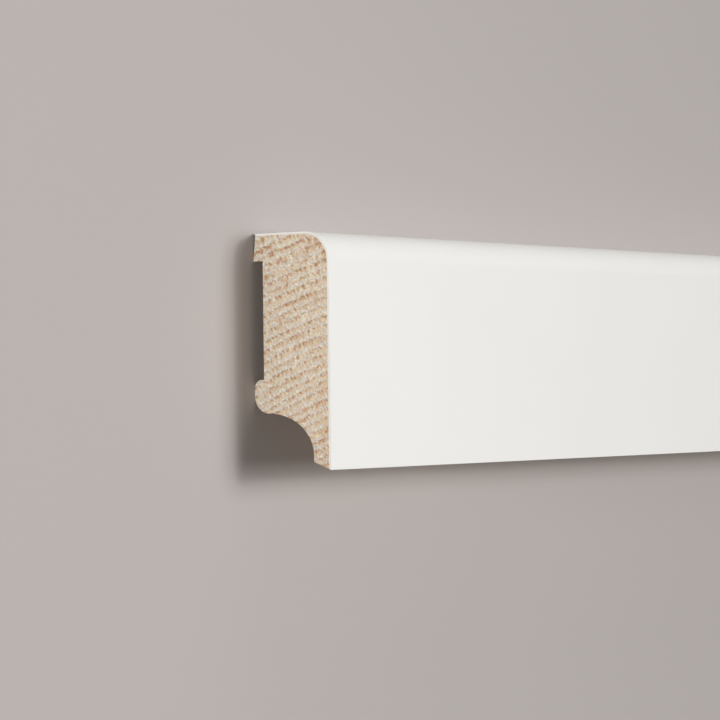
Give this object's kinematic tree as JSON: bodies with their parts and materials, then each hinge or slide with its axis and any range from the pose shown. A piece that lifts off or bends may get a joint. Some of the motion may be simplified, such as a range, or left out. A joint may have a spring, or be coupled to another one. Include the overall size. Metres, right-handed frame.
{
  "type": "skirting board length",
  "caption": "Length of narrow softwood skirting board with a white wrapped face, a clip recess and a cable cove along its back.",
  "frame": {"origin": "under the middle of the board, on the level that its back rests on", "axes": "+X along the board's length, +Y up the section from the foot to the top edge, +Z out from the wall, normal to the white front"},
  "size_m": [2.5, 0.04, 0.016],
  "materials": {
    "bare_softwood": "planed softwood, bare, with a saw-cut end",
    "white_film": "smooth satin white film"
  },
  "bodies": {
    "root": {"wood_core": "bare_softwood", "white_film": "white_film"}
  },
  "joints": []
}
